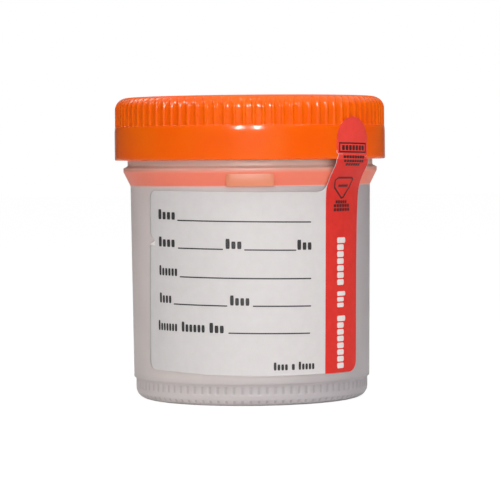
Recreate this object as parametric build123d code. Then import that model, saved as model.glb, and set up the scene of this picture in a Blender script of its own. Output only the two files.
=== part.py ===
from build123d import *
import os
from math import asin, atan2, cos, degrees, pi, radians, sin, tan

# Screw-cap specimen container: a moulded cup, its cap, the sealing disc in the cap, and the paper label.
# Millimetres. +Z is up, the origin is the centre of the face that the cup stands on, and the label faces -Y.

# ---- driving dimensions ----------------------------------------------------------------------

# Cup: heights above the standing face.
FOOT_HEIGHT = 5.25  # the narrow band that the cup stands on
BODY_TOP = 51.7  # where the collar starts to flare
COLLAR_RISE = 3.4  # height of the flare
COLLAR_EDGE = 0.9  # height of the collar's upright edge
NECK_REVEAL = 1.9  # collar's upright edge to the cap's lower edge
# Cup: outer radius at the top of the body, and how far the other walls stand in or out from it.
BODY_TOP_R = 29.25
BODY_TAPER = 0.45  # the body is this much narrower at its lower end
FOOT_STEP = 0.5  # the foot is set in this much from the body's lower end
NECK_STEP = 0.65  # the neck stands out this much from the body's top
COLLAR_STAND = 1.05  # the collar's edge stands out this much from the neck
# Cup: wall, floor and edges.
WALL = 1.2
NECK_WALL = 1.3
FLOOR = 1.3
BASE_HOLLOW = 0.9  # how far the floor is raised inside the standing ring
STANDING_RING = 2.2  # width of the ring that touches the bench
HEEL_ROUND = 2.7
INSIDE_ROUND = 3.0
RIM_EDGE = 0.25
STEP_SLOPE = 0.35  # height over which the body steps in to the foot
COLLAR_TOP_SLOPE = 0.45
# Shallow flutes round the foot.
FLUTE_COUNT = 90
FLUTE_DEPTH = 0.18
FLUTE_WIDTH = 0.9
FLUTE_LOW = 2.75
FLUTE_HIGH = 4.7
FLUTE_PHASE = -0.7  # degrees from the front
# Block on the front of the collar's flare.
PAD_WIDTH = 11.2
PAD_STAND = 0.25  # how far its face stays inside the collar's upright edge

# Thread: two starts of short lugs.
THREAD_STARTS = 2
THREAD_LEAD = 8.0
THREAD_DEPTH = 1.4
THREAD_ROOT_WIDTH = 1.7
THREAD_CREST_WIDTH = 0.8
LUG_SPAN = 52.0  # degrees
LUG_STEP = 72.0  # degrees from one lug to the next on the same start
CUP_LUGS = 5  # on each start
CAP_LUGS = 3
THREAD_BASE = 3.6  # first lug's middle above the cap's lower edge
LUG_SINK = 0.4  # how far a lug's root is buried in its wall

# Cap.
CAP_HEIGHT = 15.2
CAP_WALL = 1.35  # skirt wall, so the cap is as wide as the neck, its thread and this
SKIRT_HEIGHT = 8.1  # plain lower band, up to the ledge under the ribs
LEDGE = 0.13
CAP_TOP_WALL = 1.4
SHOULDER_ROUND = 3.0
SKIRT_EDGE = 0.35
RIB_COUNT = 90
RIB_WIDTH = 0.55
RIB_DEPTH = 0.32
RIB_PHASE = 1.65  # degrees from the front
RECESS_REACH = 50.0  # degrees round the shoulder to the pointed top of each recess
DISC_BEAD = 0.75  # how far the bead that keeps the disc in stands off the wall

# Sealing disc.
DISC_THICKNESS = 1.0

# Label and the seal that crosses on to the cap.
PAPER = 0.15
LABEL_LEFT = 28.2  # along the curved wall, from the front
LABEL_LOW = 7.15
LABEL_HIGH = 50.3
LABEL_CORNER = 2.0
STRIP_ANGLE = 48.6  # middle of the sealing strip, in degrees from the front towards +X
STRIP_WIDTH = 11.2
STRIP_ROOT_ROUND = 2.5  # inside corner between the label's top edge and the strip
STRIP_LEAVE = 1.0  # the strip leaves the wall this far above the label's top
STRIP_TURN = 0.5  # length of the upright end of the strip under the cap
STRIP_BEND = 0.8
TAB_LENGTH = 10.0  # on the cap, from its lower edge to the round end
NOTCH_HEIGHT = 4.0
NOTCH_DEPTH = 1.6
NOTCH_Z = 38.7

# Clearances.
FIT_GAP = 0.35  # thread crest to the wall opposite, and disc to the cap's wall
FLANK_GAP = 0.35  # between the thread's loaded flanks
DISC_PLAY = 0.3  # disc to the bead under it
TEAR_GAP = 0.3  # between the two halves of the seal

# ---- sizes that follow -----------------------------------------------------------------------

COLLAR_LOW = BODY_TOP + COLLAR_RISE
COLLAR_HIGH = COLLAR_LOW + COLLAR_EDGE
CAP_LOW = COLLAR_HIGH + NECK_REVEAL
CAP_TOP = CAP_LOW + CAP_HEIGHT
CAP_CEILING = CAP_TOP - CAP_TOP_WALL
RIM_Z = CAP_CEILING - DISC_THICKNESS
LEDGE_Z = CAP_LOW + SKIRT_HEIGHT
BODY_BASE_R = BODY_TOP_R - BODY_TAPER
FOOT_R = BODY_BASE_R - FOOT_STEP
NECK_R = BODY_TOP_R + NECK_STEP
COLLAR_R = NECK_R + COLLAR_STAND
CREST_R = NECK_R + THREAD_DEPTH
CAP_INNER_R = CREST_R + FIT_GAP
CAP_R = CAP_INNER_R + CAP_WALL
RIB_R = CAP_R - LEDGE
FLOOR_TOP = BASE_HOLLOW + FLOOR
CAP_CREST_R = NECK_R + FIT_GAP
DISC_R = CAP_INNER_R - FIT_GAP
MOUTH_R = NECK_R - NECK_WALL
TAB_INNER_R = CAP_R
TAB_TOP = CAP_LOW + TAB_LENGTH
EXTRA = 5.0  # how far a cutter runs past what it cuts
SHEET_SPAN = degrees(4 * STRIP_WIDTH / CAP_R)  # angle of the ring that the strip and the tab are cut from
RIM_SEARCH = 0.01  # the rim's edges are looked for this far above and below its height


def body_radius(z):
    """Outer radius of the tapered body at height z."""
    share = (z - FOOT_HEIGHT) / (BODY_TOP - FOOT_HEIGHT)
    return BODY_BASE_R + share * (BODY_TOP_R - BODY_BASE_R)


def turned(points, angle=360.0, start=0.0):
    """Solid of revolution about Z from (radius, height) points, from start degrees round from the front."""
    face = make_face(Polyline(*[(r, 0, z) for r, z in points], close=True))
    solid = revolve(face, Axis.Z, angle)
    return Rot(0, 0, start - 90) * solid


def facing(angle):
    """Plane through the axis whose local Z points outwards at this angle from the front, with local Y up."""
    out = (sin(radians(angle)), -cos(radians(angle)), 0)
    along = (cos(radians(angle)), sin(radians(angle)), 0)
    return Plane(origin=(0, 0, 0), x_dir=along, z_dir=out)


def spaced(solid, count, phase=0.0):
    """Copies of a solid that is built at the front, evenly round the axis."""
    return [Rot(0, 0, phase + 360.0 * k / count) * solid for k in range(count)]


# ---- thread ----------------------------------------------------------------------------------


def lug(root_r, crest_r, angle, z):
    """One thread lug: a ring sector leaned over to the slope of the helix, centred at this angle and height."""
    middle_r = (root_r + crest_r) / 2
    lean = degrees(asin(THREAD_LEAD / (2 * pi * middle_r)))
    half_root = THREAD_ROOT_WIDTH / 2
    half_crest = THREAD_CREST_WIDTH / 2
    outline = [(root_r, -half_root), (crest_r, -half_crest), (crest_r, half_crest), (root_r, half_root)]
    sector = turned(outline, LUG_SPAN, 90 - LUG_SPAN / 2)
    leaned = Rot(lean, 0, 0) * sector
    return Pos(0, 0, z) * Rot(0, 0, angle) * leaned


def lugs(root_r, crest_r, count, first_z):
    """All lugs of one side of the thread, climbing anticlockwise seen from above."""
    made = []
    for start in range(THREAD_STARTS):
        for k in range(count):
            angle = 360.0 * start / THREAD_STARTS + LUG_STEP * k
            z = first_z + THREAD_LEAD * LUG_STEP * k / 360.0
            made.append(lug(root_r, crest_r, angle, z))
    return made


def flank_drop():
    """How far the cap's lugs sit under the cup's, so that the loaded flanks are FLANK_GAP apart."""
    flank_rise = (THREAD_ROOT_WIDTH - THREAD_CREST_WIDTH) / 2
    flank_angle = atan2(flank_rise, THREAD_DEPTH)
    overlap = CREST_R - CAP_CREST_R
    half_at_crest = THREAD_CREST_WIDTH / 2
    half_at_overlap = half_at_crest + overlap * tan(flank_angle)
    return half_at_crest + half_at_overlap + FLANK_GAP / cos(flank_angle)


# ---- cup -------------------------------------------------------------------------------------


def cup_outside():
    """Outer form of the cup: foot, tapered body, flared collar and neck."""
    step_low = FOOT_HEIGHT - STEP_SLOPE
    points = [
        (0, 0),
        (FOOT_R, 0),
        (FOOT_R, step_low),
        (BODY_BASE_R, FOOT_HEIGHT),
        (BODY_TOP_R, BODY_TOP),
        (COLLAR_R, COLLAR_LOW),
        (COLLAR_R, COLLAR_HIGH),
        (NECK_R, COLLAR_HIGH + COLLAR_TOP_SLOPE),
        (NECK_R, RIM_Z),
        (0, RIM_Z),
    ]
    solid = turned(points)
    heel = solid.edges().filter_by(GeomType.CIRCLE).sort_by(Axis.Z)[0]
    return fillet(heel, HEEL_ROUND)


def cup_inside():
    """Space inside the cup, wider all the way up so that it leaves its mould."""
    points = [
        (0, FLOOR_TOP),
        (FOOT_R - WALL, FLOOR_TOP),
        (BODY_TOP_R - WALL, BODY_TOP),
        (MOUTH_R, COLLAR_HIGH),
        (MOUTH_R, RIM_Z + EXTRA),
        (0, RIM_Z + EXTRA),
    ]
    solid = turned(points)
    corner = solid.edges().filter_by(GeomType.CIRCLE).sort_by(Axis.Z)[0]
    return fillet(corner, INSIDE_ROUND)


def base_hollow():
    """Shallow hollow under the floor, inside the standing ring."""
    outer = FOOT_R - HEEL_ROUND - STANDING_RING
    points = [(0, -EXTRA), (outer, -EXTRA), (outer, 0), (outer - BASE_HOLLOW, BASE_HOLLOW), (0, BASE_HOLLOW)]
    return turned(points)


def foot_flute():
    """Shallow groove cut down the foot at the front."""
    height = FLUTE_HIGH - FLUTE_LOW
    middle = (FLUTE_HIGH + FLUTE_LOW) / 2
    half = FLUTE_WIDTH / 2
    section = Polyline(
        (-half, -FOOT_R - FLUTE_DEPTH),
        (half, -FOOT_R - FLUTE_DEPTH),
        (0, -FOOT_R + FLUTE_DEPTH),
        close=True,
    )
    return Pos(0, 0, middle - height / 2) * extrude(make_face(section), height)


def collar_pad():
    """Upright block on the front of the flare."""
    face_r = COLLAR_R - PAD_STAND
    inner_r = BODY_TOP_R - WALL / 2
    ring = turned([(inner_r, BODY_TOP), (face_r, BODY_TOP), (face_r, COLLAR_LOW), (inner_r, COLLAR_LOW)])
    keep = Pos(0, -face_r, (BODY_TOP + COLLAR_LOW) / 2) * Box(PAD_WIDTH, face_r, COLLAR_RISE + EXTRA)
    return ring & keep


def make_cup():
    """The whole moulded cup as one solid."""
    solid = cup_outside()
    solid += collar_pad()
    solid += lugs(NECK_R - LUG_SINK, CREST_R, CUP_LUGS, CAP_LOW + THREAD_BASE)
    solid -= cup_inside()
    solid -= base_hollow()
    solid -= spaced(foot_flute(), FLUTE_COUNT, FLUTE_PHASE)
    circles = solid.edges().filter_by(GeomType.CIRCLE)
    rim = circles.filter_by_position(Axis.Z, RIM_Z - RIM_SEARCH, RIM_Z + RIM_SEARCH)
    return chamfer(rim, RIM_EDGE)


# ---- cap -------------------------------------------------------------------------------------


def cap_blank(radius, top, round_r):
    """Plain drum with a rounded shoulder, up to this height."""
    drum = Pos(0, 0, LEDGE_Z) * Cylinder(radius, top - LEDGE_Z, align=(Align.CENTER, Align.CENTER, Align.MIN))
    return fillet(drum.edges().sort_by(Axis.Z)[-1], round_r)


def rib_recess():
    """Recess between two ribs at the front: it leans back up the rounded shoulder and ends in a point."""
    pitch = 2 * pi * RIB_R / RIB_COUNT
    half = (pitch - RIB_WIDTH) / 2
    floor_r = RIB_R - RIB_DEPTH
    spring = CAP_TOP - SHOULDER_ROUND
    end_r = RIB_R - SHOULDER_ROUND * (1 - cos(radians(RECESS_REACH)))
    end_z = spring + SHOULDER_ROUND * sin(radians(RECESS_REACH))
    side = Polyline(
        (0, -floor_r, LEDGE_Z),
        (0, -floor_r, spring),
        (0, -end_r, end_z),
        (0, -RIB_R - EXTRA, end_z),
        (0, -RIB_R - EXTRA, LEDGE_Z),
        close=True,
    )
    channel = extrude(make_face(side), half, dir=(1, 0, 0), both=True)
    corners = [(-half, LEDGE_Z), (half, LEDGE_Z), (half, spring), (0, end_z), (-half, spring)]
    front = Polyline(*corners, close=True)
    arch = extrude(facing(0) * make_face(front), RIB_R + EXTRA)
    return channel & arch


def cap_outside():
    """Ribbed upper band with its rounded shoulder, over the plain skirt."""
    upper = cap_blank(RIB_R, CAP_TOP, SHOULDER_ROUND)
    half_pitch = 180.0 / RIB_COUNT
    upper -= spaced(rib_recess(), RIB_COUNT, RIB_PHASE + half_pitch)
    skirt = Pos(0, 0, CAP_LOW) * Cylinder(CAP_R, SKIRT_HEIGHT, align=(Align.CENTER, Align.CENTER, Align.MIN))
    skirt = chamfer(skirt.edges().filter_by(GeomType.CIRCLE).sort_by(Axis.Z)[0], SKIRT_EDGE)
    return upper + skirt


def cap_inside():
    """Space inside the cap, with the bead that keeps the sealing disc in."""
    bead_r = CAP_INNER_R - DISC_BEAD
    bead_top = RIM_Z - DISC_PLAY
    points = [
        (0, CAP_LOW - EXTRA),
        (CAP_INNER_R, CAP_LOW - EXTRA),
        (CAP_INNER_R, bead_top - 2 * DISC_BEAD),
        (bead_r, bead_top - DISC_BEAD / 3),
        (bead_r, bead_top),
        (CAP_INNER_R, bead_top),
        (CAP_INNER_R, CAP_CEILING),
        (0, CAP_CEILING),
    ]
    return turned(points)


def make_cap():
    """The whole moulded cap as one solid."""
    solid = cap_outside() - cap_inside()
    first_z = CAP_LOW + THREAD_BASE + THREAD_LEAD * LUG_STEP / 360.0 - flank_drop()
    made = lugs(CAP_INNER_R + LUG_SINK, CAP_CREST_R, CAP_LUGS, first_z)
    return solid + [Rot(0, 0, LUG_STEP) * piece for piece in made]


def make_disc():
    """Sealing disc between the cup's rim and the cap's ceiling."""
    disc = Cylinder(DISC_R, DISC_THICKNESS, align=(Align.CENTER, Align.CENTER, Align.MIN))
    return Pos(0, 0, RIM_Z) * disc


# ---- label -----------------------------------------------------------------------------------


def angle_of(arc):
    """Degrees from the front of a distance along the wall at the label's middle."""
    return degrees(arc / body_radius((LABEL_LOW + LABEL_HIGH) / 2))


def field():
    """Paper of the label's written field, from its left edge to the middle of the strip."""
    low_r = body_radius(LABEL_LOW)
    high_r = body_radius(LABEL_HIGH)
    points = [(low_r, LABEL_LOW), (low_r + PAPER, LABEL_LOW), (high_r + PAPER, LABEL_HIGH), (high_r, LABEL_HIGH)]
    left = -angle_of(LABEL_LEFT)
    return turned(points, STRIP_ANGLE - left, left)


def strip_line(offset):
    """The strip's path from the label's lower edge, up the wall and out to the cap's lower edge."""
    leave = LABEL_HIGH + STRIP_LEAVE
    end = CAP_LOW - TEAR_GAP
    path = FilletPolyline(
        (body_radius(LABEL_LOW) + offset, 0, LABEL_LOW),
        (body_radius(leave) + offset, 0, leave),
        (TAB_INNER_R + offset, 0, end - STRIP_TURN),
        (TAB_INNER_R + offset, 0, end),
        radius=STRIP_BEND,
    )
    return path


def strip_outline():
    """The strip seen square on, with its rounded lower corner and the inside corner at the label's top edge."""
    half = STRIP_WIDTH / 2
    overlap = half + 2 * STRIP_ROOT_ROUND
    sheet = make_face(
        Polyline(
            (-overlap, LABEL_LOW),
            (half, LABEL_LOW),
            (half, CAP_LOW),
            (-half, CAP_LOW),
            (-half, LABEL_HIGH),
            (-overlap, LABEL_HIGH),
            close=True,
        )
    )
    corner = sheet.vertices().group_by(Axis.Y)[0].sort_by(Axis.X)[-1]
    sheet = fillet(corner, LABEL_CORNER)
    inside = sheet.vertices().sort_by_distance((-half, LABEL_HIGH))[0]
    return fillet(inside, STRIP_ROOT_ROUND)


def strip():
    """Paper of the sealing strip, with upright sides."""
    inner = strip_line(0)
    outer = strip_line(PAPER)
    face = make_face([inner, outer, Line(inner @ 0, outer @ 0), Line(inner @ 1, outer @ 1)])
    band = Rot(0, 0, STRIP_ANGLE - SHEET_SPAN / 2 - 90) * revolve(face, Axis.Z, SHEET_SPAN)
    return band & extrude(facing(STRIP_ANGLE) * strip_outline(), CAP_R + EXTRA)


def notch():
    """Small pointed tear in the label's left edge, as a cutter."""
    half = NOTCH_HEIGHT / 2
    outline = Polyline((-EXTRA, NOTCH_Z - half), (NOTCH_DEPTH, NOTCH_Z), (-EXTRA, NOTCH_Z + half), close=True)
    return extrude(facing(-angle_of(LABEL_LEFT)) * make_face(outline), CAP_R)


def left_corner(z):
    """The short edge through the paper at the field's left side and this height."""
    left = radians(-angle_of(LABEL_LEFT))
    radius = body_radius(z) + PAPER / 2
    return (radius * sin(left), -radius * cos(left), z)


def make_label():
    """Written field and sealing strip, cut from one sheet and stuck round the cup."""
    sheet = field()
    corners = [sheet.edges().sort_by_distance(left_corner(z))[0] for z in (LABEL_LOW, LABEL_HIGH)]
    sheet = fillet(corners, LABEL_CORNER)
    return sheet + strip() - notch()


def make_tab():
    """The half of the seal that is stuck to the cap, with a round end."""
    half = STRIP_WIDTH / 2
    outer = TAB_INNER_R + PAPER
    section = [(TAB_INNER_R, CAP_LOW), (outer, CAP_LOW), (outer, TAB_TOP), (TAB_INNER_R, TAB_TOP)]
    ring = turned(section, SHEET_SPAN, STRIP_ANGLE - SHEET_SPAN / 2)
    outline = Pos(0, CAP_LOW + (TAB_LENGTH - half) / 2) * Rectangle(STRIP_WIDTH, TAB_LENGTH - half)
    outline += Pos(0, TAB_TOP - half) * Circle(half)
    return ring & extrude(facing(STRIP_ANGLE) * outline, CAP_R + EXTRA)


PARTS = {
    "cup": make_cup,
    "cap": make_cap,
    "sealing_disc": make_disc,
    "label": make_label,
    "seal_tab": make_tab,
}


def main():
    os.makedirs("parts", exist_ok=True)
    for name, make in PARTS.items():
        export_step(make(), f"parts/{name}.step")


if __name__ == "__main__":
    main()
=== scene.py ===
from math import cos, pi, sin, sqrt

import bpy
import numpy as np
from mathutils import Matrix


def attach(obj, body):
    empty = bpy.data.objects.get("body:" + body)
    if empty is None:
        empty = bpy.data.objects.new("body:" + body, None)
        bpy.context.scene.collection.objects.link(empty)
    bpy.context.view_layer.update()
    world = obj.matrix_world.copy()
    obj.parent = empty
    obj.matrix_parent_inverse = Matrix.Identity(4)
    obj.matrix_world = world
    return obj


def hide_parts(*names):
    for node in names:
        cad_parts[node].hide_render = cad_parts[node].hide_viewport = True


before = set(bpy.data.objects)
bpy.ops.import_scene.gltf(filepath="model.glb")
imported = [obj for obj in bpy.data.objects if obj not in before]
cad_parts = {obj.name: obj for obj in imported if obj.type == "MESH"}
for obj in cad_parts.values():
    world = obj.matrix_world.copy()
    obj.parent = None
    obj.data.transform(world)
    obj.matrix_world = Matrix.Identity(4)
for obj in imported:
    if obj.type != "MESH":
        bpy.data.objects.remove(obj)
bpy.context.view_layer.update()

MM = 0.001  # lengths below are in millimetres, as in the part's source

# ---- sizes shared with the part's source ---------------------------------------------------------------------
FOOT_HEIGHT, FOOT_R = 5.25, 28.3
BODY_BASE_R, BODY_TOP_R, BODY_TOP = 28.8, 29.25, 51.7
COLLAR_R = 30.95
NECK_R, MOUTH_R, RIM_Z = 29.9, 28.6, 70.7
FLOOR_TOP, BASE_HOLLOW = 2.2, 0.9
HEEL_ROUND, HEEL_CENTRE_R, INSIDE_ROUND = 2.7, 25.6, 3.0
CAP_LOW, CAP_R, LEDGE_Z, RIB_R, CAP_TOP = 57.9, 33.0, 66.0, 32.87, 73.1
CAP_CEILING, CAP_INNER_R, SHOULDER_ROUND = 71.7, 31.65, 3.0
CREST_R, CAP_CREST_R, THREAD_LEAD = 31.3, 30.25, 8.0
PITCH = 4.0  # degrees from one rib, and one flute, to the next
PAPER = 0.15

# ---- sizes of the scene alone --------------------------------------------------------------------------------
RECESS_DEPTH = 0.32  # between the cap's ribs
CROWN_ROUND, CROWN_LOW = 9.4, 64.4  # arc that eases the skirt's upper edge, and where it starts
FLUTE_DEPTH, HEEL_DEPTH = 0.13, 0.10  # of the marks on the foot and on the round under it
NICK_DEPTH, NICK_AT = 1.75, 30.9  # tear in the label's left edge, its height counted up from the lower edge
LABEL_HEIGHT, CORNER_ROUND = 43.1, 2.0
FIELD_COLUMNS, SIDE_COLUMNS, STRIP_COLUMNS = 72, 5, 18  # of the label's grid: written field, beside the strip, strip
BORDER = 0.07  # bare paper left along the strip's cut edges
DEGREE = 0.51  # millimetres in a degree on the wall


# ---- mesh making ---------------------------------------------------------------------------------------------
def at(radius, angle, height):
    """Points on a cylinder: x = r sin(angle), y = -r cos(angle), z = height, angle in degrees from the front."""
    turn = np.radians(angle)
    x, y, z = np.broadcast_arrays(radius * np.sin(turn), -radius * np.cos(turn), height)
    return np.stack([x, y, z], axis=-1)


def quads(rows, columns, closed):
    """Corner numbers of the four-sided faces of a rows by columns grid; closed joins the last column to the first."""
    number = np.arange(rows * columns).reshape(rows, columns)
    if closed:
        number = np.concatenate([number, number[:, :1]], axis=1)
    corners = [number[:-1, :-1], number[:-1, 1:], number[1:, 1:], number[1:, :-1]]
    return np.stack(corners, axis=-1).reshape(-1, 4)


def outward(points, faces):
    """The same faces, turned over when the volume they enclose (sum of corner dot cross / 6) is negative."""
    total = 0.0
    for face in faces:
        a, b, c = points[face[:, 0]], points[face[:, 1]], points[face[:, 2]]
        total += np.einsum("ij,ij->", a, np.cross(b, c))
        if face.shape[1] == 4:
            d = points[face[:, 3]]
            total += np.einsum("ij,ij->", a, np.cross(c, d))
    return faces if total > 0 else [face[:, ::-1] for face in faces]


def closed_shell(grid, ends):
    """Closed shell from a grid whose rows are closed loops; the first and last rows each close on a point of ends."""
    rows, columns = grid.shape[:2]
    points = np.concatenate([grid.reshape(-1, 3), ends])
    ring = np.arange(columns)
    following = np.roll(ring, -1)
    first = np.stack([np.full(columns, rows * columns), following, ring], axis=-1)
    base = (rows - 1) * columns
    last = np.stack([np.full(columns, rows * columns + 1), base + ring, base + following], axis=-1)
    return points, outward(points, [quads(rows, columns, True), first, last])


def turned_shell(radius, angle, height):
    """Closed shell from a rows by columns grid of cylinder points whose first and last rows each close on a pole."""
    poles = np.array([[0, 0, height[0, 0]], [0, 0, height[-1, 0]]])
    return closed_shell(at(radius, angle, height), poles)


def tube_shell(grid):
    """Closed shell from sections (rows of the grid, each a closed loop of points), with a flat face at each end."""
    return closed_shell(grid, np.stack([grid[0].mean(0), grid[-1].mean(0)]))


def joined(shells):
    """Several (points, faces) shells as one."""
    points, faces, start = [], [], 0
    for shell_points, shell_faces in shells:
        points.append(shell_points)
        faces += [face + start for face in shell_faces]
        start += len(shell_points)
    return np.concatenate(points), faces


def piece(name, shell, body, materials, picks=None, smooth=True):
    """A mesh piece from points in millimetres and arrays of faces; picks gives each face its material's number."""
    points, faces = shell
    mesh = bpy.data.meshes.new(name)
    mesh.from_pydata((points * MM).tolist(), [], [f for face in faces for f in face.tolist()])
    mesh.polygons.foreach_set("use_smooth", [smooth] * len(mesh.polygons))
    for material in materials:
        mesh.materials.append(material)
    if picks is not None:
        mesh.polygons.foreach_set("material_index", np.asarray(picks, np.int32))
    mesh.update()
    made = bpy.data.objects.new(name, mesh)
    bpy.context.scene.collection.objects.link(made)
    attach(made, body)
    return made


def smooth_step(x):
    """0 below 0, 1 above 1, and 3x^2 - 2x^3 between."""
    x = np.clip(x, 0, 1)
    return x * x * (3 - 2 * x)


def columns_round(inside, between, half):
    """Column positions in pitches, one pitch after another: inside the groove at inside * half, then between grooves.

    half is the groove's half width in pitches, one for each row, so the columns follow the groove's outline."""
    half = half[:, None]
    one = np.concatenate([inside * half, half + between * (1 - 2 * half)], axis=1)
    count = int(round(360 / PITCH))
    return (one[:, None, :] + np.arange(count)[None, :, None]).reshape(len(one), -1)


def lug(root_r, crest_r, middle, height, span=52.0):
    """Thread lug: a trapezium 1.7 mm wide at the root and 0.8 mm at the crest, carried along a helix of 8 mm lead.

    Height rises by the lead times the share of a turn, and the crest sinks to the root over the last 2 degrees."""
    ends = np.array([0.46, 0.48, 0.492, 0.5])
    along = np.concatenate([-ends[::-1], np.linspace(-0.44, 0.44, 25), ends]) * span
    end = np.sqrt(np.clip(1 - (np.clip(np.abs(along) - (span / 2 - 2), 0, 2) / 2) ** 2, 0.02, 1))
    rise = np.array([0, 0, 0.5, 0.93, 1, 1, 0.93, 0.5, 0])
    across = np.array([0, -0.85, -0.62, -0.45, -0.32, 0.32, 0.45, 0.62, 0.85])
    radius = root_r + (crest_r - root_r) * rise[None, :] * end[:, None]
    z = height + THREAD_LEAD * along[:, None] / 360 + across[None, :]
    return tube_shell(at(radius, middle + along[:, None], z))


# ---- cap -----------------------------------------------------------------------------------------------------
def cap_shell():
    """Cap as one closed turned shell: ceiling, bead, bore, lip, skirt, ledge, ribbed band, shoulder and top.

    Each recess is sunk along the surface's normal, a shallow hollow between steep sides; on the shoulder its half
    width falls as 1 - t^1.8 (t the share of the way round to 56 degrees), which makes the pointed arch. The skirt's
    upper edge follows the circle r = R - c + sqrt(c^2 - h^2), h above its start."""
    inner = [(r, CAP_CEILING) for r in (4, 14, 24, 30, 31.3)] + [(31.55, 71.62), (CAP_INNER_R, 71.4)]
    inner += [(CAP_INNER_R, 70.45), (31.6, 70.4), (30.95, 70.4), (30.9, 70.35), (30.9, 70.15), (30.95, 70.05)]
    inner += [(31.6, 68.95)] + [(CAP_INNER_R, z) for z in (68.8, 66, 63, 60, 58.35)] + [(31.72, 58.1), (31.92, 57.92)]
    lip = [(32.3, CAP_LOW), (32.62, CAP_LOW), (32.82, 57.95), (32.95, 58.08), (CAP_R, 58.3), (CAP_R, 58.7)]
    crown = [(CAP_R - CROWN_ROUND + sqrt(CROWN_ROUND ** 2 - rise ** 2), CROWN_LOW + rise)
             for rise in (0, 0.25, 0.5, 0.75, 1.0, 1.2, 1.4, 1.55)]
    skirt = [(CAP_R, 60.5), (CAP_R, 62.5), (CAP_R, 63.8)] + crown + [(32.862, 65.985)]
    plain = np.array(inner + lip + skirt)
    band = np.array([(RIB_R, z) for z in (LEDGE_Z, 66.03, 66.2, 67.2, 68.6, 69.6, 70.1)])
    turn = np.radians(np.concatenate([np.arange(4, 61, 4), [66, 72, 79, 85, 90]]))
    centre = RIB_R - SHOULDER_ROUND
    shoulder = np.stack([centre + SHOULDER_ROUND * np.cos(turn), 70.1 + SHOULDER_ROUND * np.sin(turn)], axis=-1)
    dimple = [(2.9, CAP_TOP - 0.06), (2.6, CAP_TOP - 0.12), (0.6, CAP_TOP - 0.12)]
    top = np.array([(r, CAP_TOP) for r in (29.2, 27.5, 20, 10, 3.2)] + dimple)
    line = np.concatenate([plain, band, shoulder, top])
    rows = len(line)
    round_by = np.zeros(rows)  # how far round the shoulder each row is, in degrees
    start = len(plain) + len(band)
    round_by[start:start + len(turn)] = np.degrees(turn)
    round_by[start + len(turn):] = 90
    reach = 56.0
    share = np.clip((round_by - 6) / (reach - 6), 0, 1)
    full = 0.5 * (1 - 0.55 / 2.295)  # half of the recess, as a share of the pitch
    half = full * np.clip(1 - share ** 1.8, 0.05, 1)
    half = np.where(round_by > 62, full * smooth_step((round_by - 58) / 30), half)
    depth = np.zeros(rows)
    ribbed = slice(len(plain) + 1, start + len(turn))
    depth[ribbed] = RECESS_DEPTH * (1 - 0.75 * smooth_step(share[ribbed]))
    depth = np.where(round_by > reach, 0, depth)
    inside = np.array([-1, -0.84, -0.58, -0.2, 0.2, 0.58, 0.84, 1])
    between = np.array([0.22, 0.5, 0.78])
    sunk = np.tile(np.array([0.2, 0.8, 0.94, 1, 1, 0.94, 0.8, 0.2, 0, 0, 0]), int(round(360 / PITCH)))
    angle = -0.35 + PITCH * columns_round(inside, between, half)
    out_r, out_z = np.cos(np.radians(round_by)), np.sin(np.radians(round_by))
    fall = depth[:, None] * sunk[None, :]
    radius = line[:, 0:1] - fall * out_r[:, None]
    height = line[:, 1:2] - fall * out_z[:, None]
    return turned_shell(radius, angle, height)


def cap_lugs():
    """The cap's lugs: three on each start of the thread, standing in from the bore."""
    first = 61.595
    return [lug(CAP_INNER_R + 0.3, CAP_CREST_R, 90 + 72 + 180 * start + 72 * k, first + 1.6 * k)
            for start in range(2) for k in range(3)]


# ---- cup -----------------------------------------------------------------------------------------------------
def body_radius(z):
    """Outer radius of the tapered body at height z."""
    return BODY_BASE_R + (z - FOOT_HEIGHT) / (BODY_TOP - FOOT_HEIGHT) * (BODY_TOP_R - BODY_BASE_R)


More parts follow.
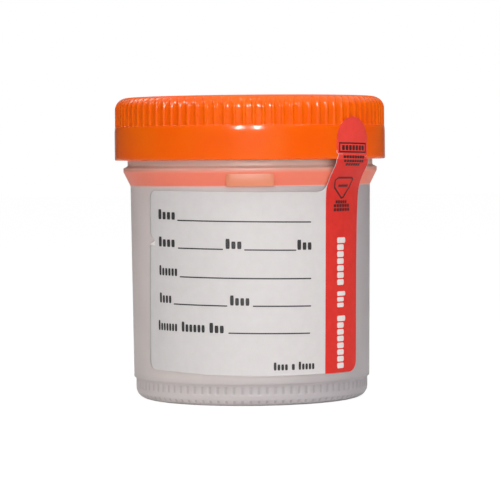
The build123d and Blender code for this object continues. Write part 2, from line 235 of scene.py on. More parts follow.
def cup_shell():
    """Cup as one closed turned shell: floor, bore, rim, neck, collar, body, foot, heel, standing ring and underside.

    Flutes 0.13 mm deep run down the foot, and marks 0.10 mm deep of the same spacing lie on the round of the heel."""
    quarter = np.radians(np.linspace(0, 90, 8))
    bore = 27.1
    corner = [(bore - INSIDE_ROUND + INSIDE_ROUND * sin(a), FLOOR_TOP + INSIDE_ROUND * (1 - cos(a))) for a in quarter]
    inner = [(r, FLOOR_TOP) for r in (3, 10, 17, 22.5)] + corner
    inner += [(bore + 0.95 * (z - 5.2) / 46.5, z) for z in (6, 12, 20, 28, 36, 44, 50)]
    inner += [(28.05, 51.6), (28.1, 52.1), (28.33, 54.0), (28.56, 55.7)]
    inner += [(MOUTH_R, z) for z in (56.2, 60, 65, 70.3)]
    rim = [(28.66, 70.52), (28.8, 70.67), (29.0, RIM_Z), (29.5, RIM_Z), (29.7, 70.67), (29.84, 70.52), (NECK_R, 70.3)]
    neck = [(NECK_R, z) for z in (68, 65, 62, 59, 57.2, 56.75)] + [(29.93, 56.58), (30.05, 56.46)]
    collar = [(30.6, 56.18), (30.82, 56.07), (30.92, 55.95), (COLLAR_R, 55.8), (COLLAR_R, 55.35), (30.93, 55.18),
              (30.88, 55.02), (30.6, 54.45), (30.2, 53.64), (29.8, 52.84), (29.4, 52.03), (29.29, 51.8),
              (BODY_TOP_R, 51.6)]
    body = [(body_radius(z), z) for z in (51.2, 49, 45, 40, 35, 30, 25, 20, 15, 10, 7, 5.9)]
    step = [(BODY_BASE_R, 5.4), (28.76, 5.27), (28.6, 5.12), (28.42, 5.0), (28.33, 4.9), (FOOT_R, 4.78)]
    foot = [(FOOT_R, z) for z in (4.66, 4.6, 4.2, 3.7, 3.2, 2.85, 2.78)]
    heel_turn = np.radians([6, 14, 22, 28, 30, 38, 46, 50, 52, 60, 70, 80, 90])
    heel = [(HEEL_CENTRE_R + HEEL_ROUND * cos(a), HEEL_ROUND * (1 - sin(a))) for a in heel_turn]
    under = [(24.5, 0), (23.5, 0), (23.35, 0.04), (22.6, 0.86)] + [(r, BASE_HOLLOW) for r in (22.45, 15, 4, 2)]
    line = np.array(inner + rim + neck + collar + body + step + foot + heel + under)
    rows = len(line)
    at_foot = len(inner + rim + neck + collar + body + step)
    depth = np.zeros(rows)
    depth[at_foot + 1:at_foot + 6] = FLUTE_DEPTH
    at_heel = at_foot + len(foot)
    depth[at_heel + 4:at_heel + 8] = HEEL_DEPTH
    slope = np.zeros(rows)
    slope[at_heel:at_heel + len(heel)] = np.degrees(heel_turn)
    half = np.full(rows, 0.5 * 0.9 / 1.976)
    inside = np.array([-1, -0.66, 0.66, 1])
    between = np.array([0.33, 0.67])
    sunk = np.tile(np.array([0.12, 1, 1, 0.12, 0, 0]), int(round(360 / PITCH)))
    angle = -0.7 + PITCH * columns_round(inside, between, half)
    fall = depth[:, None] * sunk[None, :]
    radius = line[:, 0:1] - fall * np.cos(np.radians(slope))[:, None]
    height = line[:, 1:2] + fall * np.sin(np.radians(slope))[:, None]
    # Materials by face: 2 on the groove floors (painted shade), 3 on the eight rows of the collar (painted salmon
    # light), 0 elsewhere and on the poles.
    deep = (depth[:-1] > 0) & (depth[1:] > 0)
    floor = np.arange(angle.shape[1]) % 6 == 1
    first = len(inner + rim + neck) + 4
    pick = 2 * (deep[:, None] & floor[None, :])
    pick[first:first + 8] = 3
    pick = np.concatenate([pick.ravel(), np.zeros(2 * angle.shape[1])])
    return turned_shell(radius, angle, height), pick


def collar_block():
    """Upright block on the front of the flare: its section is carried 11.2 mm across, with edges rounded 0.2 mm."""
    section = np.array([(28.65, 51.72), (30.5, 51.72), (30.64, 51.78), (30.7, 51.92), (30.7, 53.4), (30.7, 54.9),
                        (30.66, 55.04), (30.55, 55.12), (28.65, 55.12)])
    across = np.array([-5.6, -5.56, -5.44, -4.5, -3, -1.5, 0, 1.5, 3, 4.5, 5.44, 5.56, 5.6])
    inset = np.array([0.16, 0.05, 0, 0, 0, 0, 0, 0, 0, 0, 0, 0.05, 0.16])
    x = np.repeat(across[:, None], len(section), axis=1)
    reach = section[None, :, 0] - inset[:, None]
    y = -np.sqrt(np.maximum(reach ** 2 - x ** 2, 1))
    z = np.repeat(section[None, :, 1], len(across), axis=0)
    return tube_shell(np.stack([x, y, z], axis=-1))


def cup_lugs():
    """The cup's lugs: five on each start of the thread, standing out from the neck."""
    return [lug(NECK_R - 0.3, CREST_R, 90 + 180 * start + 72 * k, 61.5 + 1.6 * k)
            for start in range(2) for k in range(5)]


# ---- label ---------------------------------------------------------------------------------------------------
def label_left(z):
    """Left edge of the written field, in degrees from the front: the label went on a degree out of true."""
    return np.interp(z, [8, 12.3, 24.4, 44.7, 51], [-56.9, -56.7, -56.0, -54.6, -54.2])


def label_right(z):
    """Right edge of the sealing strip, in degrees from the front."""
    return np.interp(z, [7, 14.2, 33.4, 44, 50.9, 53, 56, 58], [59.5, 59.6, 59.7, 60.3, 61.2, 60.6, 59.0, 58.0])


def strip_left(z):
    """Left edge of the sealing strip's colour, in degrees from the front."""
    return np.interp(z, [7, 33.8, 50.9, 53, 58], [36.7, 37.1, 37.3, 37.7, 38.1])


def label_top(angle):
    """Height of the label's top edge."""
    return np.interp(angle, [-55, 32, 62], [50.9, 50.2, 49.9])


def label_bottom(angle):
    """Height of the label's lower edge."""
    return np.interp(angle, [-57, -36, -18, 4, 60], [8.35, 7.95, 7.5, 7.27, 7.2])


def paper_radius(z):
    """Radius of the paper's outer face: on the wall, then out over the collar to the cap's skirt."""
    on_wall = [body_radius(5) + PAPER, body_radius(46) + PAPER, body_radius(48.5) + PAPER + 0.02]
    return np.interp(z, [5, 46, 48.5, 50.2, 51.2, 52.4, 54, 55.0, 55.7, 56.4, 57.1, CAP_LOW],
                     on_wall + [29.5, 29.7, 30.1, 30.95, 31.65, 32.15, 32.62, 32.98, 33.13])


def spread(spans):
    """Columns of angles from (start, stop, count) spans, each divided evenly, and the last span's stop at the end."""
    columns = [start[:, None] + (stop - start)[:, None] * np.arange(count)[None, :] / count
               for start, stop, count in spans]
    return np.concatenate(columns + [spans[-1][1][:, None]], axis=1)


def corner_in(distance):
    """How far a quarter round of CORNER_ROUND draws the edge in, at this distance from the sheet's end."""
    inward = CORNER_ROUND - np.clip(distance, 0, CORNER_ROUND)
    return CORNER_ROUND - np.sqrt(np.maximum(CORNER_ROUND ** 2 - inward ** 2, 0))


def label_shell():
    """Label as one curved sheet: angle = mix of the edges by column, height = mix of lower and top edge by row.

    Corners are quarter rounds in the edges, the nick is a triangle taken from the left edge, and above the written
    field the sheet goes on as the sealing strip, whose inner corner is a quarter ellipse."""
    corner = 3.0 * (1 - np.cos(np.radians(np.linspace(0, 90, 9))))
    middle = np.array([4.5, 6.5, 9, 12, 15, 18, 21, 24, 26.5, 28.4, 28.9, 29.6, 30.4, 31.0, 31.6, 32.2, 32.9, 34.5,
                       36.5, 38.5, 40])
    upper = LABEL_HEIGHT - CORNER_ROUND * (1 - np.sin(np.radians(np.linspace(0, 90, 8))))[:0:-1]
    rise = np.unique(np.concatenate([corner, middle, upper, [LABEL_HEIGHT]]))
    z_left = label_bottom(-55.0) + rise * (label_top(-54.0) - label_bottom(-55.0)) / LABEL_HEIGHT
    round_in = corner_in(rise) + corner_in(LABEL_HEIGHT - rise)
    nick = NICK_DEPTH * np.clip(1 - np.abs(rise - NICK_AT) / np.where(rise > NICK_AT, 2.0, 0.9), 0, 1) ** 1.4
    left = label_left(z_left) + (round_in + nick) / DEGREE
    z_right = 7.05 + rise
    round_off = 3.0 * (1 - np.sqrt(np.maximum(1 - (1 - np.clip(rise / 2.6, 0, 1)) ** 2, 0)))
    right = label_right(z_right) - round_off / DEGREE
    edge = right - BORDER / DEGREE
    turn_in = np.full(len(rise), 32.0)
    colour = np.minimum(strip_left(z_right), edge - 1)
    angle = spread([(left, turn_in, FIELD_COLUMNS), (turn_in, colour, SIDE_COLUMNS), (colour, edge, STRIP_COLUMNS),
                    (edge, right, 1)])
    base, top = label_bottom(angle), label_top(angle)
    z = base + (rise[:, None] / LABEL_HEIGHT) * (top - base)
    field = at(paper_radius(z), angle, z)
    columns = angle.shape[1]
    # The strip above the written field starts on the last row, from the column where the inner corner begins.
    up = np.array([0.12, 0.35, 0.7, 1.1, 1.6, 2.1, 2.6, 3.1, 3.6, 4.2, 4.8, 5.3, 5.7, 6.1, 6.5, 6.9, 7.3, 7.6, 7.9])
    foot_up = 49.95  # mean height of the label's top edge under the strip
    z_up = foot_up + up
    colour_up = strip_left(z_up)
    out = 3.3 * (1 - np.sqrt(np.maximum(1 - (1 - np.clip(up / 1.9, 0, 1)) ** 2, 0)))
    left_up = colour_up - (BORDER + out) / DEGREE
    right_up = label_right(z_up)
    edge_up = right_up - BORDER / DEGREE
    angle_up = spread([(left_up, colour_up, SIDE_COLUMNS), (colour_up, edge_up, STRIP_COLUMNS), (edge_up, right_up, 1)])
    lean = np.clip(1 - up / 2.6, 0, 1)[:, None]
    z_strip = z_up[:, None] + lean * (label_top(angle_up) - foot_up)
    strip = at(paper_radius(z_strip), angle_up, z_strip)
    points = np.concatenate([field.reshape(-1, 3), strip.reshape(-1, 3)])
    faces = quads(len(rise), columns, False)
    width = angle_up.shape[1]
    number = np.arange(len(up) * width).reshape(len(up), width) + len(rise) * columns
    last = np.arange((len(rise) - 1) * columns + FIELD_COLUMNS, len(rise) * columns)
    number = np.concatenate([last[None, :], number])
    corners = [number[:-1, :-1], number[:-1, 1:], number[1:, 1:], number[1:, :-1]]
    more = np.stack(corners, axis=-1).reshape(-1, 4)
    column = np.tile(np.arange(columns - 1), len(rise) - 1)
    column_up = np.tile(np.arange(width - 1) + FIELD_COLUMNS, len(up))
    where = np.concatenate([column, column_up])
    red = FIELD_COLUMNS + SIDE_COLUMNS
    picks = ((where >= red) & (where < red + STRIP_COLUMNS)).astype(int)
    return (points, [np.concatenate([faces, more])]), picks


def chip_shell():
    """Corner of paper torn at the nick: a triangle that curls off the wall as the square of the way to its tip."""
    way = np.linspace(0, 1, 8)[:, None]
    side = np.linspace(-1, 1, 7)[None, :]
    angle = -51.0 - 3.4 * way + 0.5 * side * way
    z = 38.35 - 0.3 * way + 0.7 * side * (1 - 0.9 * way)
    radius = body_radius(z) + PAPER + 0.03 + 0.3 * way ** 2
    return at(radius, angle, z).reshape(-1, 3), [quads(8, 7, False)]


def tab_shell():
    """Seal's upper half on the cap: straight sides, then a half round; radius eases from the skirt on to the ribs."""
    low, spring, top = CAP_LOW - 0.04, 62.2, 67.9
    round_end = spring + (top - spring) * np.sin(np.radians(np.linspace(7, 90, 14)))
    z = np.concatenate([[low, 58.2, 58.5, 58.75, 58.95, 59.15, 59.4], np.linspace(60, spring, 5), round_end])
    middle, reach = 47.65, 9.55
    half = reach * np.sqrt(np.clip(1 - (np.clip(z - spring, 0, None) / (top - spring)) ** 2, 0.0008, 1))
    share = np.concatenate([[-1, -1 + BORDER / 5.6], np.linspace(-0.9, 0.9, 15), [1 - BORDER / 5.6, 1]])
    tear_left = 1.0 * np.interp(z, [57.86, 59.1, 59.3], [0.0, 1.0, 0.0])
    tear_right = 0.7 * np.interp(z, [57.86, 58.5, 58.9], [0.0, 1.0, 0.0])
    angle = middle + half[:, None] * share[None, :]
    angle += tear_left[:, None] * (1 - share) / 2 - tear_right[:, None] * (1 + share) / 2
    crease = 59.2 - 0.035 * (angle - middle)
    z = np.repeat(z[:, None], len(share), axis=1)
    radius = np.interp(z, [57, 65.5, 66.6, 68], [CAP_R + 0.12, CAP_R + 0.12, RIB_R + 0.14, RIB_R + 0.14])
    radius = radius - 0.07 * np.exp(-((z - crease) / 0.16) ** 2)
    grid = at(radius, angle, z)
    rows, columns = angle.shape
    column = np.tile(np.arange(columns - 1), rows - 1)
    row = np.repeat(np.arange(rows - 1), columns - 1)
    picks = (column > 0) | (row > 6)
    return (grid.reshape(-1, 3), [quads(rows, columns, False)]), picks


def mark(radius, left, right, low, high, tilt=0.0, lift=0.02, round_end=0.12):
    """Printed bar: a thin curved patch between two angles and two heights, ends rounded, just proud of the paper.

    tilt is how far its right end is lower than its left, in millimetres for each degree."""
    count = max(3, int((right - left) / 1.3) + 2)
    ends = min(round_end / DEGREE, (right - left) / 3)
    inner = np.linspace(left + ends, right - ends, count)
    angle = np.concatenate([[left, left + 0.3 * ends], inner, [right - 0.3 * ends, right]])
    full = np.concatenate([[0.35, 0.8], np.ones(count), [0.8, 0.35]])
    middle, half = (low + high) / 2, (high - low) / 2
    share = np.array([-1, -0.33, 0.33, 1])
    z = middle + half * share[:, None] * full[None, :] - tilt * (angle - left)[None, :]
    grid = at(radius(z) + lift, angle[None, :] + 0 * z, z)
    return grid.reshape(-1, 3), [quads(*z.shape, False)]


def stroke(radius, corners, width, lift=0.02):
    """Printed line of even width through corners given in (degrees, height); width is carried square to the line."""
    corners = np.array(corners, float)
    place = np.arange(len(corners))
    finer = np.linspace(0, place[-1], place[-1] * 8 + 1)
    corners = np.stack([np.interp(finer, place, corners[:, k]) for k in (0, 1)], axis=-1)
    flat = corners * np.array([DEGREE * 1.02, 1.0])
    closed = np.allclose(corners[0], corners[-1])
    forward = np.diff(flat, axis=0)
    forward /= np.linalg.norm(forward, axis=1)[:, None]
    before = np.concatenate([forward[-1:] if closed else forward[:1], forward])
    after = np.concatenate([forward, forward[:1] if closed else forward[-1:]])
    mean = before + after
    mean /= np.linalg.norm(mean, axis=1)[:, None]
    side = np.stack([-mean[:, 1], mean[:, 0]], axis=-1)
    stretch = 1 / np.maximum(np.abs(np.einsum("ij,ij->i", mean, after)), 0.5)
    offset = side * (stretch * width / 2)[:, None]
    both = np.stack([flat - offset, flat + offset])
    angle, z = both[..., 0] / (DEGREE * 1.02), both[..., 1]
    grid = at(radius(z) + lift, angle, z)
    return grid.reshape(-1, 3), [quads(2, len(corners), False)]


def upright(shells):
    """Open patches joined as one shell, each turned to face away from the axis."""
    kept = []
    for points, faces in shells:
        a, b, c = (points[faces[0][:, k]] for k in (0, 1, 2))
        out = np.cross(b - a, c - a)[:, :2] * a[:, :2]
        kept.append((points, faces if out.sum() > 0 else [face[:, ::-1] for face in faces]))
    return joined(kept)


def block_row(radius, left, right, low, high, count, tilt, fill=0.72, rise=0.35):
    """Row of small plain blocks, each filling that share of its pitch; the first stands taller by the share rise."""
    step = (right - left) / count
    made = []
    for k in range(count):
        start = left + k * step
        drop = tilt * (start - left)
        top = high + (rise * (high - low) if k == 0 and count > 1 else 0)
        made.append(mark(radius, start, start + fill * step, low - drop, top - drop, tilt))
    return made


# ---- materials -----------------------------------------------------------------------------------------------
def linear(code):
    """An sRGB hex colour as linear red, green, blue and alpha."""
    parts = [int(code[k:k + 2], 16) / 255 for k in (1, 3, 5)]
    return [p / 12.92 if p <= 0.04045 else ((p + 0.055) / 1.055) ** 2.4 for p in parts] + [1.0]


def add(tree, kind, inputs=None, **settings):
    """Adds a node: settings are its properties, and each input takes a number, a colour or another node's output."""
    made = tree.nodes.new(kind)
    for key, value in settings.items():
        setattr(made, key, value)
    for key, value in (inputs or {}).items():
        if isinstance(value, bpy.types.NodeSocket):
            tree.links.new(value, made.inputs[key])
        else:
            made.inputs[key].default_value = value
    return made


def new_material(name):
    """An empty node material with its output, and the tree to add to."""
    material = bpy.data.materials.new(name)
    material.use_nodes = True
    material.node_tree.nodes.clear()
    return material, material.node_tree


def ramp(tree, factor, stops, interpolation="LINEAR"):
    """Colour ramp from (position, hex) stops."""
    made = add(tree, "ShaderNodeValToRGB", {"Fac": factor})
    made.color_ramp.interpolation = interpolation
    while len(made.color_ramp.elements) < len(stops):
        made.color_ramp.elements.new(0.5)
    for element, (position, code) in zip(made.color_ramp.elements, sorted(stops)):
        element.position = position
        element.color = linear(code)
    return made.outputs["Color"]


def moulded_orange_polyethylene():
    """Opaque injection-moulded HDPE: waxy satin, soft broad highlights, light carried a little under the skin.

    The flat top comes out of the mould matt, so the glossy skin fades away over the last half millimetre of height."""
    material, tree = new_material("moulded_orange_polyethylene")
    place = add(tree, "ShaderNodeTexCoord").outputs["Object"]
    cloud = add(tree, "ShaderNodeTexNoise", {"Vector": place, "Scale": 60.0, "Detail": 2.0})  # 17 mm flow shading
    colour = ramp(tree, cloud.outputs["Fac"], [(0.3, "#f95c00"), (0.7, "#fb6800")])
    grain = add(tree, "ShaderNodeTexNoise", {"Vector": place, "Scale": 2200.0, "Detail": 3.0})  # 0.45 mm mould texture
    bump = add(tree, "ShaderNodeBump", {"Height": grain.outputs["Fac"], "Strength": 0.12, "Distance": 0.00006})
    rough = add(tree, "ShaderNodeMapRange", {"Value": cloud.outputs["Fac"], "To Min": 0.46, "To Max": 0.54})
    height = add(tree, "ShaderNodeSeparateXYZ", {"Vector": place}).outputs["Z"]
    gloss = add(tree, "ShaderNodeMapRange", {
        "Value": height, "From Min": 0.0725, "From Max": 0.073, "To Min": 1.0, "To Max": 0.02})
    shader = add(tree, "ShaderNodeBsdfPrincipled", {
        "Base Color": colour, "Roughness": rough.outputs["Result"], "IOR": 1.5, "Normal": bump.outputs["Normal"],
        "Specular IOR Level": 0.0, "Coat Weight": gloss.outputs["Result"], "Coat Roughness": 0.16, "Coat IOR": 1.35,
        "Subsurface Weight": 0.12, "Subsurface Radius": (0.004, 0.0012, 0.0003), "Subsurface Scale": 0.6})
    add(tree, "ShaderNodeOutputMaterial", {"Surface": shader.outputs["BSDF"]})
    return material


def frosted_polypropylene(name, stops=None, clear=0.22):
    """Natural polypropylene, moulded with a fine matt: milky, lets blurred light through, no colour of its own.

    The collar and the neck under the orange cap are painted salmon and peach: painted light, standing in for the cap's
    glow carried down the clear wall, and it stays when the cap is lifted. The body's right side is painted darker and
    cooler, painted shade."""
    material, tree = new_material(name)
    place = add(tree, "ShaderNodeTexCoord").outputs["Object"]
    height = add(tree, "ShaderNodeSeparateXYZ", {"Vector": place}).outputs["Z"]
    share = add(tree, "ShaderNodeMapRange", {"Value": height, "From Min": 0.0, "From Max": 0.0731}).outputs["Result"]
    # Painted light: the salmon from 51.95 to 55.6 mm and the peach from 56.2 to 58 mm stand in for the orange cap's
    # glow through the clear collar and neck.
    colours = [(0.0, "#f0e7e5"), (2.6, "#e6dddb"), (5.0, "#dcd3d1"), (6.5, "#e8deda"), (51.6, "#eee1de"),
               (51.95, "#ff846a"), (54.9, "#ff866c"), (55.6, "#ffb09a"), (56.2, "#fbdacb"), (58, "#fbdacb"),
               (60.5, "#f0e4df")]
    stops = stops or [(z / CAP_TOP, code) for z, code in colours]
    colour = ramp(tree, share, stops)
    cloud = add(tree, "ShaderNodeTexNoise", {"Vector": place, "Scale": 90.0, "Detail": 3.0})  # 11 mm melt clouding
    shade = add(tree, "ShaderNodeMapRange", {"Value": cloud.outputs["Fac"], "To Min": 0.93, "To Max": 1.07})
    shade = shade.outputs["Result"]
    # Painted shade: below the collar the body is painted darker and bluer towards +X, its right side, as the light
    # falls there.
    across = add(tree, "ShaderNodeSeparateXYZ", {"Vector": place}).outputs["X"]
    painted_shade_share = add(tree, "ShaderNodeMapRange", {"Value": across, "From Min": -0.02, "From Max": 0.028}).outputs["Result"]
    collar = add(tree, "ShaderNodeMath", {0: height, 1: BODY_TOP * MM}, operation="LESS_THAN").outputs[0]
    painted_shade_share = add(tree, "ShaderNodeMath", {0: painted_shade_share, 1: collar}, operation="MULTIPLY").outputs[0]
    painted_side_shade = ramp(tree, painted_shade_share, [(0.0, "#ffffff"), (1.0, "#d6d8de")])
    colour = add(tree, "ShaderNodeVectorMath", {0: colour, 1: painted_side_shade}, operation="MULTIPLY").outputs["Vector"]
    tinted = add(tree, "ShaderNodeVectorMath", {0: colour, 1: shade}, operation="MULTIPLY")
    grain = add(tree, "ShaderNodeTexNoise", {"Vector": place, "Scale": 2600.0, "Detail": 2.0})  # 0.4 mm mould matt
    bump = add(tree, "ShaderNodeBump", {"Height": grain.outputs["Fac"], "Strength": 0.2, "Distance": 0.00005})
    shader = add(tree, "ShaderNodeBsdfPrincipled", {
        "Base Color": tinted.outputs["Vector"], "Roughness": 0.36, "IOR": 1.49, "Specular IOR Level": 0.3,
        "Transmission Weight": clear, "Normal": bump.outputs["Normal"]})
    add(tree, "ShaderNodeOutputMaterial", {"Surface": shader.outputs["BSDF"]})
    return material


def coated_paper(name, code, dark, rough=0.5):
    """Coated self-adhesive paper: smooth, faint mottle of the fibre, low sheen."""
    material, tree = new_material(name)
    place = add(tree, "ShaderNodeTexCoord").outputs["Object"]
    mottle = add(tree, "ShaderNodeTexNoise", {"Vector": place, "Scale": 500.0, "Detail": 4.0, "Roughness": 0.6})  # 2 mm
    colour = ramp(tree, mottle.outputs["Fac"], [(0.3, dark), (0.7, code)])
    fibre = add(tree, "ShaderNodeTexNoise", {"Vector": place, "Scale": 3500.0, "Detail": 3.0})  # 0.3 mm fibre
    bump = add(tree, "ShaderNodeBump", {"Height": fibre.outputs["Fac"], "Strength": 0.1, "Distance": 0.00004})
    shader = add(tree, "ShaderNodeBsdfPrincipled", {
        "Base Color": colour, "Roughness": rough, "IOR": 1.45, "Specular IOR Level": 0.2,
        "Normal": bump.outputs["Normal"]})
    add(tree, "ShaderNodeOutputMaterial", {"Surface": shader.outputs["BSDF"]})
    return material


def printing_ink(name, code, worn):
    """Offset ink on coated paper: flat colour that thins a little where the paper's fibre stands."""
    material, tree = new_material(name)
    place = add(tree, "ShaderNodeTexCoord").outputs["Object"]
    fibre = add(tree, "ShaderNodeTexNoise", {"Vector": place, "Scale": 2500.0, "Detail": 2.0})  # 0.4 mm
    colour = ramp(tree, fibre.outputs["Fac"], [(0.35, code), (0.8, worn)])
    shader = add(tree, "ShaderNodeBsdfPrincipled", {"Base Color": colour, "Roughness": 0.45, "IOR": 1.45})
    add(tree, "ShaderNodeOutputMaterial", {"Surface": shader.outputs["BSDF"]})
    return material


def polyethylene_foam():
    """Closed-cell PE foam of the sealing disc: matt white skin with fine cells."""
    material, tree = new_material("closed_cell_foam")
    place = add(tree, "ShaderNodeTexCoord").outputs["Object"]
    cells = add(tree, "ShaderNodeTexVoronoi", {"Vector": place, "Scale": 1600.0})  # 0.6 mm cells
    colour = ramp(tree, cells.outputs["Distance"], [(0.0, "#e9e6df"), (0.8, "#f4f2ec")])
    bump = add(tree, "ShaderNodeBump", {"Height": cells.outputs["Distance"], "Strength": 0.4, "Distance": 0.0001})
    shader = add(tree, "ShaderNodeBsdfPrincipled", {
        "Base Color": colour, "Roughness": 0.7, "IOR": 1.45, "Normal": bump.outputs["Normal"]})
    add(tree, "ShaderNodeOutputMaterial", {"Surface": shader.outputs["BSDF"]})
    return material


# ---- the pieces ----------------------------------------------------------------------------------------------
orange = moulded_orange_polyethylene()
natural = frosted_polypropylene("frosted_polypropylene")
# Painted light: the block on the collar's front is painted a lighter salmon, the cap's glow through it.
block_painted_glow = frosted_polypropylene("frosted_polypropylene_block", [(0.0, "#fa9d76"), (1.0, "#fa9d76")])
# Painted light: the collar rows carry the painted salmon of the cap's glow, with less light let through.
collar_painted_glow = frosted_polypropylene("frosted_polypropylene_collar", clear=0.05)
# Painted shade: the flute floors on the foot are painted a darker grey.
groove_painted_shade = frosted_polypropylene("frosted_polypropylene_groove", [(0.0, "#d5cccb"), (1.0, "#d5cccb")])
white_paper = coated_paper("coated_paper_white", "#d9d5d4", "#d5d1d0")
torn_film = coated_paper("seal_film_torn_edge", "#edb5ae", "#e2a8a1", 0.6)
paper_back = coated_paper("paper_torn_edge", "#ebe6e3", "#e4dfdc", 0.6)
red_paper = coated_paper("coated_paper_red", "#e2352c", "#da3028", 0.42)
# Painted light: the strip's upper part on the cap is painted a lighter red than the same strip on the label.
red_strip_painted_lighter = coated_paper("seal_strip_red_painted_lighter", "#ee463d", "#e64239", 0.38)
black_ink = printing_ink("black_ink", "#2a2729", "#3b3839")
dark_red_ink = printing_ink("dark_red_ink", "#430a0c", "#521011")
white_ink = printing_ink("white_ink", "#efe6e3", "#e6d8d5")

cap = piece("cap_moulding", joined([cap_shell()] + cap_lugs()), "cap", [orange])
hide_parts("cap")

shell, turned = cup_shell()
block = collar_block()
lugs = cup_lugs()
lug_faces = sum(len(f) for _, faces in lugs for f in faces)
picks = np.concatenate([turned, np.ones(sum(len(f) for f in block[1])), np.zeros(lug_faces)])
cup = piece("cup_moulding", joined([shell, block] + lugs), "cup",
            [natural, block_painted_glow, groove_painted_shade, collar_painted_glow], picks)
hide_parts("cup")

sheet, picks = label_shell()
label = piece("label_sheet", upright([sheet]), "cup", [white_paper, red_paper], picks)
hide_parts("label")
sheet, picks = tab_shell()
tab = piece("seal_tab_film", upright([sheet]), "cap", [white_paper, red_strip_painted_lighter], picks)
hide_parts("seal_tab")

# Ruled lines and block rows of the written field: (left, right, height at the left end), in degrees and millimetres.
TILT = 0.0095
LINES = [(-36, 29, 43.82), (-35.9, -12.8, 37.28), (-3, 21.4, 36.9), (-35.1, 29, 30.52), (-38.9, -11.1, 24.05),
         (0.7, 28.9, 23.72), (-10.7, 28.3, 17.42)]
WORDS = [(-48, -36.6, 44.05, 4), (-48, -37, 37.57, 4), (-11.6, -3.5, 37.17, 3), (21.9, 29.9, 36.74, 3),
         (-48, -36, 30.77, 6), (-48, -39.8, 24.27, 4), (-9.8, -0.2, 23.92, 4), (-49.2, -36.6, 17.7, 7),
         (-34.4, -21.6, 17.6, 6), (-19.8, -12.2, 17.45, 3)]
black = [mark(paper_radius, a, b, z - 0.15, z + 0.15, TILT) for a, b, z in LINES]
for a, b, z, count in WORDS:
    black += block_row(paper_radius, a, b, z, z + 1.75, count, TILT)
for a, b, count in ((10.2, 17.4, 4), (18.9, 20.9, 1), (22.3, 31.0, 5)):
    black += block_row(paper_radius, a, b, 8.55, 9.95, count, 0.003)
piece("label_black_print", upright(black), "cup", [black_ink])

chip = piece("label_torn_chip", upright([chip_shell()]), "cup", [paper_back])

# Dark print on the strip: a plain kite-shaped outline with a bar, and short rows of blocks.
KITE = [(41.4, 52.95), (42.8, 53.5), (51.8, 53.45), (53.1, 52.95), (52.3, 51.2), (48.3, 48.8), (47.0, 48.7),
        (42.1, 51.2), (41.4, 52.95)]
dark = [stroke(paper_radius, KITE, 0.42, 0.03), mark(paper_radius, 44.2, 50.8, 51.3, 51.85, 0, 0.03)]
for low, a, b, count in ((47.4, 43.3, 51.2, 5), (46.5, 42.1, 53.2, 6), (45.55, 42.1, 53.4, 6)):
    dark += block_row(paper_radius, a, b, low, low + 0.74, count, 0, 0.84, 0)
for low, a, b, count in ((57.18, 42.0, 54.6, 8), (56.35, 43.4, 52.6, 6)):
    dark += block_row(paper_radius, a, b, low, low + 0.62, count, 0.012, 0.86, 0)
piece("strip_dark_print", upright(dark), "cup", [dark_red_ink])

# White print up the strip: three plain bars in place of its words, made of blocks.
white = []
for low, high, count in ((27.9, 39.5, 7), (22.6, 26.7, 3), (8.1, 20.9, 8)):
    step = (high - low) / count
    white += [mark(paper_radius, 44.3, 50.0 if k == count - 1 else 48.9, low + k * step + 0.16,
                   low + (k + 1) * step - 0.16, 0, 0.02, 0.3) for k in range(count)]
piece("strip_white_print", upright(white), "cup", [white_ink])


def skirt_radius(z):
    """Outer face of the seal's upper half on the cap's skirt."""
    return CAP_R + 0.12 + 0 * z


FRAME = [(39.5, 59.65), (39.5, 61.7), (55.7, 61.5), (55.7, 59.45), (39.5, 59.65)]
dark = [stroke(skirt_radius, FRAME, 0.34, 0.012)] + block_row(skirt_radius, 40.8, 55.0, 60.0, 61.2, 7, 0.012, 0.76, 0)
dark += block_row(skirt_radius, 41.6, 55.0, 58.12, 58.8, 8, 0.012, 0.86, 0)
piece("tab_dark_print", upright(dark), "cap", [dark_red_ink])

light = [stroke(skirt_radius, [(38.4, 59.25), (39.6, 59.1), (41.2, 59.1)], 0.07, 0.03),
         stroke(skirt_radius, [(56.9, 58.7), (56.2, 58.55), (55.4, 58.4)], 0.07, 0.03)]
piece("tab_tear_edges", upright(light), "cap", [torn_film])

for made, thickness in ((label, PAPER - 0.02), (tab, PAPER - 0.04), (chip, 0.08)):
    solid = made.modifiers.new("paper", "SOLIDIFY")
    solid.thickness = thickness * MM
    solid.offset = -1

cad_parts["sealing_disc"].data.materials.clear()
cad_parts["sealing_disc"].data.materials.append(polyethylene_foam())


# ---- floor, light and camera ---------------------------------------------------------------------------------
def make_floor():
    """Pale bench: a large flat sheet that looks white and keeps a faint shadow under the object."""
    size = 3000.0
    line = np.array([-size, -600, -200, 0, 200, 600, size])
    x, y = np.meshgrid(line, line)
    points = np.stack([x, y, 0 * x - 0.02], axis=-1).reshape(-1, 3)
    mesh = bpy.data.meshes.new("bench")
    mesh.from_pydata((points * MM).tolist(), [], quads(7, 7, False).tolist())
    floor = bpy.data.objects.new("bench", mesh)
    bpy.context.scene.collection.objects.link(floor)
    material, tree = new_material("white_bench")
    matt = add(tree, "ShaderNodeBsdfDiffuse", {"Color": linear("#e8e8e8")})
    white = add(tree, "ShaderNodeEmission", {"Color": (1, 1, 1, 1), "Strength": 1.12})
    path = add(tree, "ShaderNodeLightPath").outputs
    seen = add(tree, "ShaderNodeMath", {0: path["Is Camera Ray"], 1: path["Is Transmission Ray"]}, operation="MAXIMUM")
    seen = seen.outputs[0]
    part = add(tree, "ShaderNodeMath", {0: seen, 1: 0.85}, operation="MULTIPLY")
    mixed = add(tree, "ShaderNodeMixShader", {"Fac": part.outputs[0], 1: matt.outputs[0], 2: white.outputs[0]})
    add(tree, "ShaderNodeOutputMaterial", {"Surface": mixed.outputs[0]})
    mesh.materials.append(material)


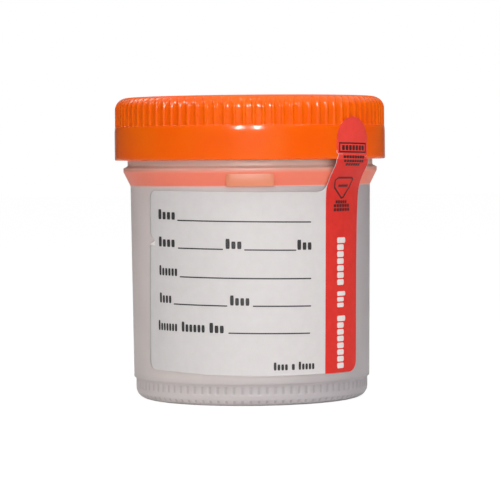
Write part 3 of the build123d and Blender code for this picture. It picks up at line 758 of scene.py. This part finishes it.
def make_world():
    """White where the camera looks, a white backdrop behind for mirrored and clear rays, and a plain fill elsewhere."""
    world = bpy.data.worlds.new("studio")
    bpy.context.scene.world = world
    world.use_nodes = True
    tree = world.node_tree
    tree.nodes.clear()
    path = add(tree, "ShaderNodeLightPath").outputs
    toward = add(tree, "ShaderNodeTexCoord").outputs["Generated"]  # in a world this is the direction itself
    split = add(tree, "ShaderNodeSeparateXYZ", {"Vector": toward}).outputs

    def between(value, **reach):
        """The value, carried from one reach of numbers to another."""
        inputs = {"Value": value, **{key.replace("_", " "): number for key, number in reach.items()}}
        return add(tree, "ShaderNodeMapRange", inputs).outputs["Result"]

    def greater(a, b):
        """The larger of the two."""
        return add(tree, "ShaderNodeMath", {0: a, 1: b}, operation="MAXIMUM").outputs[0]

    def chosen(ray, otherwise, then):
        """One strength for this kind of ray and another for the rest."""
        return add(tree, "ShaderNodeMix", {"Factor": path[ray], "A": otherwise, "B": then}).outputs["Result"]

    backdrop = between(split["Y"], From_Min=0.93, From_Max=0.99, To_Max=0.4)
    mirrored = greater(backdrop, between(split["Z"], From_Min=0.28, From_Max=0.55, To_Min=0.05, To_Max=1.1))
    cleared = between(backdrop, From_Max=0.4, To_Min=0.42, To_Max=1.0)
    strength = chosen("Is Glossy Ray", 0.345, mirrored)
    strength = greater(chosen("Is Transmission Ray", strength, cleared), path["Is Camera Ray"])
    sky = add(tree, "ShaderNodeBackground", {"Color": (1, 1, 1, 1), "Strength": strength})
    add(tree, "ShaderNodeOutputWorld", {"Surface": sky.outputs[0]})


def lamp(name, place, aim, size, watts, sparkle=False, tall=1):
    """Soft lamp at place, facing aim (both in millimetres), size millimetres wide and tall times as high.

    A sparkle lamp shows only as its own image in the gloss, and the others only light the object."""
    data = bpy.data.lights.new(name, "AREA")
    data.shape = "RECTANGLE"
    data.size = size * MM
    data.size_y = tall * size * MM
    data.energy = watts
    made = bpy.data.objects.new(name, data)
    back = np.array(place, float) - np.array(aim, float)
    back /= np.linalg.norm(back)
    side = np.cross([0, 0, 1.0], back)
    side /= np.linalg.norm(side)
    turn = np.stack([side, np.cross(back, side), back], axis=1)
    matrix = np.eye(4)
    matrix[:3, :3] = turn
    matrix[:3, 3] = np.array(place) * MM
    made.matrix_world = Matrix(matrix.tolist())
    made.visible_glossy = sparkle
    made.visible_diffuse = not sparkle
    bpy.context.scene.collection.objects.link(made)


def make_camera():
    """Camera level with the cup's upper half, 625 mm away, a little turned about its own axis."""
    data = bpy.data.cameras.new("view")
    data.sensor_width = 36.0
    data.lens = 184.0
    data.clip_end = 20
    made = bpy.data.objects.new("view", data)
    turned_aside, looking_down, rolled = 0.0003, 0.03783, -0.009
    made.matrix_world = (Matrix.Translation((0, -0.62546, 0.059446)) @ Matrix.Rotation(turned_aside, 4, "Z")
                         @ Matrix.Rotation(pi / 2 - looking_down, 4, "X") @ Matrix.Rotation(rolled, 4, "Z"))
    bpy.context.scene.collection.objects.link(made)
    bpy.context.scene.camera = made


make_floor()
make_world()
make_camera()
lamp("key", (180, -850, 190), (0, 0, 45), 560, 3.1)
lamp("fill", (-400, -700, 160), (0, 0, 40), 560, 0.85)
lamp("side", (800, -300, 160), (0, 0, 45), 300, 0.2)
lamp("overhead", (50, -200, 680), (0, 0, 60), 350, 2.35)
lamp("left_spot", (-93, -620, 211), (0, 0, 60), 32, 1.5, sparkle=True, tall=3.2)
lamp("right_spot", (66, -620, 211), (0, 0, 60), 32, 1.5, sparkle=True, tall=3.2)
lamp("left_rim", (-390, 490, 560), (0, 0, 60), 200, 0.4, sparkle=True)
lamp("left_strip", (-640, -240, 560), (0, 0, 60), 160, 2.4, sparkle=True)
lamp("right_strip", (560, -620, 420), (0, 0, 60), 120, 0.6, sparkle=True)

bpy.context.scene.view_settings.view_transform = "Standard"
